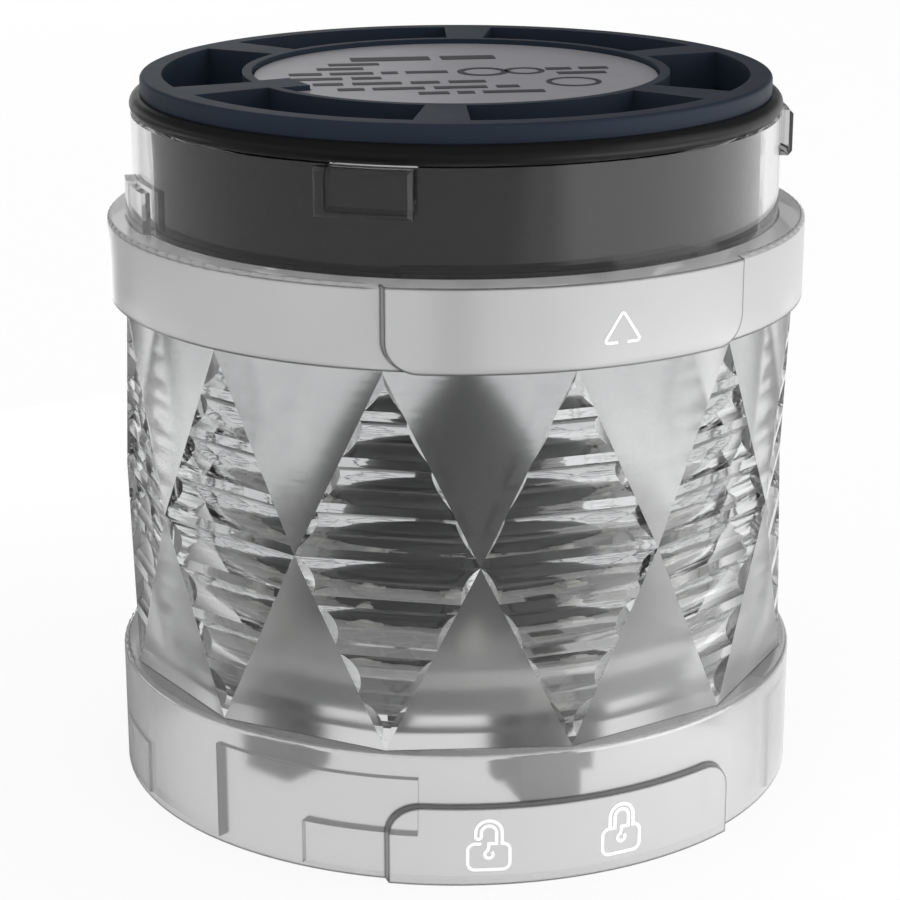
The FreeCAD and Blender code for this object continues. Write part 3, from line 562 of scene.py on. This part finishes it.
# %% [markdown]
# ## Marks on the grip tabs
# Three marks are moulded on the tabs and inked white: an open triangle that the next tier is
# lined up with, an open padlock and a closed one. A font could not draw them, so each is a stroke
# of even width. The stroke's middle line is a list of straight steps and arcs on a flat sheet. A
# helper widens it to a ribbon, wraps the ribbon round the tab and gives it a little height.

# %% Strokes
STROKE_LIFT = 0.035 * MM
STROKE_SINK = 0.02 * MM
SHARPEST_MITRE = 0.5


def arc(center, radius, first, last, steps=12):
    """Points of an arc between two angles in degrees, on the flat sheet."""
    angles = [math.radians(first + (last - first) * step / steps) for step in range(steps + 1)]
    return [(center[0] + radius * math.cos(a), center[1] + radius * math.sin(a)) for a in angles]


def stroke_sides(line, width):
    """The two edges of a stroke, with mitred corners, as pairs of points."""
    points = [Vector(point) for point in line]
    sides = []
    for number, point in enumerate(points):
        before = (point - points[number - 1]).normalized() if number else None
        after = (points[number + 1] - point).normalized() if number + 1 < len(points) else None
        along = ((before or after) + (after or before)).normalized()
        square = Vector((-along.y, along.x))
        reach = width / 2 / max(SHARPEST_MITRE, along.dot(after or before))
        sides.append((point + square * reach, point - square * reach))
    return sides


print("height of a stroke in mm:", round(STROKE_LIFT / MM, 3))

# %% [markdown]
# A bmesh is Blender's workshop for single corners and faces. Each point of the middle line
# becomes a small cross-section of four corners, and neighbours are joined by four faces. The
# strip is closed at both ends, so it is a solid that can be cut, printed or measured.

# %% Stroke pieces
def add_stroke(mesh, line, width, wrap):
    """Adds one stroke to a bmesh. Wrap turns a flat point and a height into a place."""
    rings = []
    top, foot = STROKE_LIFT, -STROKE_SINK
    for left, right in stroke_sides(line, width):
        corners = [(left, top), (right, top), (right, foot), (left, foot)]
        rings.append([mesh.verts.new(wrap(flat, height)) for flat, height in corners])
    for ring, following in zip(rings, rings[1:]):
        for side in range(4):
            other = (side + 1) % 4
            mesh.faces.new((ring[side], following[side], following[other], ring[other]))
    mesh.faces.new(rings[0])
    mesh.faces.new(rings[-1][::-1])


def inked_piece(name, strokes, width, wrap, ink):
    """One object from several strokes."""
    mesh = bmesh.new()
    for line in strokes:
        add_stroke(mesh, line, width, wrap)
    bmesh.ops.recalc_face_normals(mesh, faces=mesh.faces)
    data = bpy.data.meshes.new(name)
    mesh.to_mesh(data)
    mesh.free()
    data.materials.append(ink)
    piece = bpy.data.objects.new(name, data)
    bpy.context.scene.collection.objects.link(piece)
    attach(piece, "root")
    print(name, "strokes:", len(strokes), "faces:", len(data.polygons))
    return piece


# %% [markdown]
# The ink is pad printed, which leaves a thin, even white with a faint mottle. The mottle is too
# fine for a shape, so noise lets the tone drift and a shallow bump breaks the shine.

# %% Ink
def pad_ink(name, color):
    """A thin, even ink."""
    material, tree, shader = start_material(name, color, 0.5)
    vary_tone(tree, shader, color, size_mm=0.4, share=0.04)
    add_grain(tree, shader, size_mm=0.1, depth_mm=0.002)
    return material


white_ink = pad_ink("white_ink", (0.93, 0.93, 0.93))
print("ink:", white_ink.name)

# %% [markdown]
# The open padlock is one line from start to end. It runs round the body, up the outer side of the
# shackle and down its inner side, and curls into the keyhole. The closed one needs two lines,
# because the left leg of its shackle meets the body. They share the body and the shackle's top.

# %% Padlock outlines
BODY_HALF = 1.72 * MM
BODY_TOP = 2.3 * MM
BODY_ROUND = 0.6 * MM
SHACKLE_OUT = 1.08 * MM
SHACKLE_IN = 0.62 * MM
SHACKLE_HEIGHT = 3.25 * MM
KEYHOLE = (0.0, 1.35 * MM)
KEYHOLE_RADIUS = 0.34 * MM
KEYHOLE_NECK = (-0.02 * MM, 1.95 * MM)
OPEN_LEG_FOOT = 2.95 * MM
OPEN_BODY_START = -0.6 * MM


def body_outline(first_x):
    """Round the lock's body, from a point on its top, left about, to the outer right leg."""
    half, low = BODY_HALF - BODY_ROUND, BODY_ROUND
    high = BODY_TOP - BODY_ROUND
    line = [(first_x, BODY_TOP)]
    line += arc((-half, high), BODY_ROUND, 90, 180, 6)
    line += arc((-half, low), BODY_ROUND, 180, 270, 6)
    line += arc((half, low), BODY_ROUND, 270, 360, 6)
    line += arc((half, high), BODY_ROUND, 0, 90, 6)
    return line + [(SHACKLE_OUT, BODY_TOP)]


def inner_leg():
    """Down the inner right leg and into the keyhole."""
    keyhole = arc(KEYHOLE, KEYHOLE_RADIUS, 110, 400, 14)
    return [(SHACKLE_IN, BODY_TOP), (0.0, BODY_TOP), KEYHOLE_NECK] + keyhole


def shackle(radius, first, last):
    """The round top of the shackle, on its outer or its inner side."""
    return arc((0.0, SHACKLE_HEIGHT), radius, first, last, 14)


leg_middle = (SHACKLE_OUT + SHACKLE_IN) / 2
leg_half = (SHACKLE_OUT - SHACKLE_IN) / 2
open_end = arc((-leg_middle, OPEN_LEG_FOOT), leg_half, 180, 360, 6)
open_lock = body_outline(OPEN_BODY_START) + shackle(SHACKLE_OUT, 0, 180) + open_end
open_lock += shackle(SHACKLE_IN, 180, 0) + inner_leg()
closed_outside = body_outline(-SHACKLE_OUT) + shackle(SHACKLE_OUT, 0, 180)
closed_outside += [(-SHACKLE_OUT, BODY_TOP)]
closed_inside = [(-SHACKLE_OUT, BODY_TOP), (-SHACKLE_IN, BODY_TOP)]
closed_inside += shackle(SHACKLE_IN, 180, 0) + inner_leg()
print("points in the open lock:", len(open_lock))

# %% [markdown]
# The triangle is open: its stroke stops short of the middle of its foot on both sides. Its
# corners are small arcs, because the cutter that makes a mould leaves no perfectly sharp one.

# %% Triangle outline
TRIANGLE_HALF = 1.25 * MM
TRIANGLE_RISE = 2.3 * MM
TRIANGLE_ROUND = 0.2 * MM
TRIANGLE_GAP = 0.42 * MM
triangle = [(-TRIANGLE_GAP, 0.0)]
triangle += arc((-TRIANGLE_HALF, TRIANGLE_ROUND), TRIANGLE_ROUND, 270, 150, 6)
triangle += arc((0.0, TRIANGLE_RISE - TRIANGLE_ROUND), TRIANGLE_ROUND, 150, 30, 6)
triangle += arc((TRIANGLE_HALF, TRIANGLE_ROUND), TRIANGLE_ROUND, 30, -90, 6)
triangle += [(TRIANGLE_GAP, 0.0)]
print("points in the triangle:", len(triangle))

# %% [markdown]
# Each mark has an azimuth and a foot height on its tab. Wrapping turns the flat distance sideways
# into an angle about the axis, so the mark keeps its size on the curved face.

# %% Place the marks
TRIANGLE_STROKE = 0.22 * MM
LOCK_STROKE = 0.27 * MM


def tab_wrap(azimuth, foot):
    """Wraps a flat mark onto its tab, with its middle at an azimuth in degrees."""

    def wrap(flat, height):
        angle = math.radians(azimuth) + flat[0] / tab_radius
        return on_cylinder(tab_radius + height, angle, foot + flat[1])

    return wrap


closed_lock = [closed_outside, closed_inside]
inked_piece("triangle_mark", [triangle], TRIANGLE_STROKE, tab_wrap(5.8, 44.85 * MM), white_ink)
inked_piece("open_lock_mark", [open_lock], LOCK_STROKE, tab_wrap(-13.85, 1.4 * MM), white_ink)
inked_piece("closed_lock_mark", closed_lock, LOCK_STROKE, tab_wrap(7.25, 1.5 * MM), white_ink)

# %% [markdown]
# ## Print on the rating label
# The label carries rows of small print. Plain bars stand in for the words, with the word lengths
# and gaps of ordinary text, and plain rings stand in for the round marks. They are strokes again,
# laid flat on the label. A row is its height, its thickness and where each word starts and ends,
# and a ring is its middle, its radius and its thickness, all in millimetres. A ring stops just
# short of a full turn, so that its two ends don't share a place.

# %% Rows of print
LABEL_TURN = math.radians(-11.0)
ROWS = [
    (8.6, 2.0, [(-8.2, -1.2), (-0.2, 4.6)]),
    (5.9, 1.15, [(-10.4, -6.0)]),
    (3.6, 1.15, [(-11.6, -7.6)]),
    (1.0, 1.15, [(-14.2, -11.4), (-10.7, -7.0), (-6.3, -4.9), (-4.2, -0.6)]),
    (-1.6, 1.15, [(-14.0, -9.9), (-9.1, -6.6)]),
    (-4.4, 1.15, [(-12.6, -10.1), (-9.3, -5.2), (-4.4, -2.0), (-1.2, 1.9)]),
    (-7.2, 1.15, [(-10.8, -8.6), (-7.9, -3.6), (-2.8, 1.6), (2.4, 4.3)]),
    (-9.8, 1.15, [(-4.4, -1.9), (-1.2, 0.2), (0.9, 6.0)]),
    (1.4, 1.15, [(8.0, 10.2), (10.9, 13.4)]),
    (-1.0, 1.15, [(8.6, 12.8)]),
]
RING_END = 358
RING_STEPS = 36
RINGS = [((2.4, 0.6), 1.9, 0.6), ((6.0, 0.6), 1.5, 0.5), ((9.2, -5.6), 2.1, 0.45)]


def label_wrap(flat, height):
    """Lays a flat point on the label, turned to the way that its rows run."""
    x = flat[0] * math.cos(LABEL_TURN) - flat[1] * math.sin(LABEL_TURN)
    y = flat[0] * math.sin(LABEL_TURN) + flat[1] * math.cos(LABEL_TURN)
    return Vector((x, y, label_top + height))


label_ink = pad_ink("label_ink", (0.02, 0.02, 0.025))
for number, (height, thickness, words) in enumerate(ROWS, start=1):
    row = [[(first * MM, height * MM), (last * MM, height * MM)] for first, last in words]
    inked_piece(f"label_row_{number}", row, thickness * MM, label_wrap, label_ink)
for number, (center, radius, thickness) in enumerate(RINGS, start=1):
    ring = arc((center[0] * MM, center[1] * MM), radius * MM, 0, RING_END, RING_STEPS)
    inked_piece(f"label_ring_{number}", [ring], thickness * MM, label_wrap, label_ink)

# %% [markdown]
# ## Camera
# The tier is seen from a little above and from the left of its grip tabs. The camera stands close
# enough for the ring to look wider than the cover. Its place is an azimuth, a distance and a
# height. A small shift frames the tier without turning the camera, which would change how its
# upright edges lean.

# %% Camera
CAMERA_AZIMUTH = math.radians(-18.79)
CAMERA_DISTANCE = 220.1 * MM
CAMERA_HEIGHT = 96.1 * MM
CAMERA_PITCH = math.radians(17.53)
FOCAL_LENGTH_MM = 103.33
SENSOR_WIDTH_MM = 36.0
SHIFT_SIDEWAYS = -0.0067
SHIFT_UPWARDS = 0.0098

camera_data = bpy.data.cameras.new("camera")
camera_data.sensor_width = SENSOR_WIDTH_MM
camera_data.lens = FOCAL_LENGTH_MM
camera_data.shift_x = SHIFT_SIDEWAYS
camera_data.shift_y = SHIFT_UPWARDS
camera = bpy.data.objects.new("camera", camera_data)
camera.location = on_cylinder(CAMERA_DISTANCE, CAMERA_AZIMUTH, CAMERA_HEIGHT)
camera.rotation_euler = (math.pi / 2 - CAMERA_PITCH, 0.0, CAMERA_AZIMUTH)
bpy.context.scene.collection.objects.link(camera)
bpy.context.scene.camera = camera
print("camera at", [round(part / MM, 1) for part in camera.location])

# %% [markdown]
# ## Floor and backdrop
# A product shot stands on white. Making the floor white with strong lamps would burn out the
# plastic, so the lamps stay moderate, and floor and world simply show as white to rays that come
# from the camera, a shiny surface or the inside of the lens. The floor keeps a share of its real
# shading, which holds the shadow.
#
# The white sweep of a studio stands behind the object, and the room in front of it is dim. Black
# plastic shows the difference: under white from all sides it turns grey. So what shines and what
# is clear sees the floor fade to the dim room towards the camera and the left.

# %% White to the eye
BACKDROP_WHITE = 1.0


def add_math(tree, operation, first, second):
    """Joins two outputs, or an output and a number, by a Math node."""
    node = tree.nodes.new("ShaderNodeMath")
    node.operation = operation
    tree.links.new(first, node.inputs[0])
    if isinstance(second, float):
        node.inputs[1].default_value = second
    else:
        tree.links.new(second, node.inputs[1])
    return node.outputs[0]


def seen_directly(tree):
    """One for camera, glossy and transmission rays, zero for the light that falls on things."""
    path = tree.nodes.new("ShaderNodeLightPath")
    shiny, clear = path.outputs["Is Glossy Ray"], path.outputs["Is Transmission Ray"]
    shiny_or_clear = add_math(tree, "MAXIMUM", shiny, clear)
    return add_math(tree, "MAXIMUM", path.outputs["Is Camera Ray"], shiny_or_clear)


def mix_by(tree, factor, first, second, output):
    """Mixes two shaders by a factor, into an output."""
    mix = tree.nodes.new("ShaderNodeMixShader")
    tree.links.new(factor, mix.inputs[0])
    tree.links.new(first, mix.inputs[1])
    tree.links.new(second, mix.inputs[2])
    tree.links.new(mix.outputs[0], output)


print("strength of the backdrop:", BACKDROP_WHITE)

# %% [markdown]
# The fade needs to know where on the floor a ray lands. The product of that place with an axis is
# a distance along it, and a Map Range node turns the distance into a strength. Mirrored and
# transmitted rays each get a dim end of their own, because clear plastic gathers light from more
# of the room.

# %% Fade to the dim room
ROOM_MIRRORED = 0.1
ROOM_THROUGH = 0.5


def fade_strength(tree, vector, axis, strength, start, end, nearer):
    """Sets a strength that rises from dim to white between two places along an axis.
    What is seen through the lens turns white nearer by. The camera itself always sees white."""
    path = tree.nodes.new("ShaderNodeLightPath")
    through = path.outputs["Is Transmission Ray"]
    along = tree.nodes.new("ShaderNodeVectorMath")
    along.operation = "DOT_PRODUCT"
    along.inputs[1].default_value = axis
    tree.links.new(vector, along.inputs[0])
    shift = add_math(tree, "MULTIPLY", through, nearer)
    shifted = add_math(tree, "ADD", along.outputs["Value"], shift)
    rise = tree.nodes.new("ShaderNodeMapRange")
    rise.interpolation_type = "SMOOTHSTEP"
    rise.inputs["From Min"].default_value = start
    rise.inputs["From Max"].default_value = end
    rise.inputs["To Max"].default_value = BACKDROP_WHITE
    tree.links.new(shifted, rise.inputs["Value"])
    tree.links.new(add_range(tree, through, ROOM_MIRRORED, ROOM_THROUGH), rise.inputs["To Min"])
    white = add_math(tree, "MAXIMUM", rise.outputs["Result"], path.outputs["Is Camera Ray"])
    tree.links.new(white, strength)


print("dim room, mirrored and seen through:", ROOM_MIRRORED, ROOM_THROUGH)

# %% [markdown]
# The floor is one large plane. A curved sweep behind the tier would do the same, but a plane this
# wide already reaches the horizon, and the white of floor and world hides where they meet.

# %% Floor
FLOOR_SIZE = 6.0
FLOOR_WHITENESS = 0.85
BRIGHT_SIDE = on_cylinder(1.0, CAMERA_AZIMUTH + math.radians(125.0), 0.0)


def floor_material():
    """White to the eye, with a share of real shading for the shadow."""
    material, tree, shader = start_material("floor", (0.8, 0.8, 0.8), 0.9)
    glow = tree.nodes.new("ShaderNodeEmission")
    place = tree.nodes.new("ShaderNodeTexCoord")
    spot, strength = place.outputs["Object"], glow.inputs["Strength"]
    fade_strength(tree, spot, BRIGHT_SIDE, strength, start=-0.03, end=0.03, nearer=0.06)
    share = add_math(tree, "MULTIPLY", seen_directly(tree), FLOOR_WHITENESS)
    surface = tree.nodes["Material Output"].inputs["Surface"]
    mix_by(tree, share, shader.outputs["BSDF"], glow.outputs["Emission"], surface)
    return material


bpy.ops.mesh.primitive_plane_add(size=FLOOR_SIZE, location=(0, 0, 0))
floor = bpy.context.object
floor.name = "floor"
floor.data.materials.append(floor_material())
print("floor size in metres:", FLOOR_SIZE)

# %% [markdown]
# The world is the upper part of the studio. The sweep is white at the horizon and gives way to
# the dim ceiling above it, which is what the top of the cover mirrors.

# %% World
WORLD_LIGHT = 1.1
WHITE = (1.0, 1.0, 1.0, 1.0)
UP = (0.0, 0.0, 1.0)

world = bpy.data.worlds.new("studio")
bpy.context.scene.world = world
world.use_nodes = True
tree = world.node_tree
light = tree.nodes["Background"]
light.inputs["Color"].default_value = WHITE
light.inputs["Strength"].default_value = WORLD_LIGHT
white = tree.nodes.new("ShaderNodeBackground")
white.inputs["Color"].default_value = WHITE
direction = tree.nodes.new("ShaderNodeTexCoord")
strength = white.inputs["Strength"]
fade_strength(tree, direction.outputs["Generated"], UP, strength, start=0.22, end=0.02, nearer=0.0)
world_surface = tree.nodes["World Output"].inputs["Surface"]
mix_by(tree, seen_directly(tree), light.outputs[0], white.outputs[0], world_surface)
print("world light:", WORLD_LIGHT)

# %% [markdown]
# ## Lamps
# Five softboxes stand on the floor, and each has one thing to whiten. The walls of the tier are
# upright and the camera looks down on them, so they mirror what stands low. A low strip, close on
# the right, whitens the right half of the smooth faces, and a large key box further off on the
# same side lights the whole. A small edge box behind draws the bright line down the left outline.
# A dim, tall box behind is mirrored in the flat label, and a very low one on the left brightens
# that side. A lamp has no outline inside the clear wall, because transmitted rays pass it by.

# %% Lamps
def softbox(name, azimuth, distance, size, radiance):
    """An upright lamp that stands on the floor and faces the axis, as bright as its radiance."""
    data = bpy.data.lights.new(name, "AREA")
    data.shape = "RECTANGLE"
    data.size, data.size_y = size
    data.energy = radiance * math.pi * size[0] * size[1]
    lamp = bpy.data.objects.new(name, data)
    lamp.location = on_cylinder(distance, math.radians(azimuth), size[1] / 2)
    lamp.rotation_euler = (math.pi / 2, 0.0, math.radians(azimuth))
    lamp.visible_transmission = False
    bpy.context.scene.collection.objects.link(lamp)
    print(name, "power:", round(data.energy, 3))
    return lamp


softbox("strip_softbox", 40, 0.08, (0.08, 0.027), 2.8)
softbox("key_softbox", 60, 0.6, (0.5, 0.5), 1.4)
softbox("edge_softbox", -166, 0.12, (0.03, 0.024), 2.5)
softbox("label_softbox", 174, 0.6, (0.25, 0.45), 0.5)
softbox("left_softbox", -124, 0.13, (0.06, 0.013), 2.6)

# %% [markdown]
# ## Finish
# The view transform is Standard, so colours come out as written.

# %% Finish
bpy.context.scene.view_settings.view_transform = "Standard"
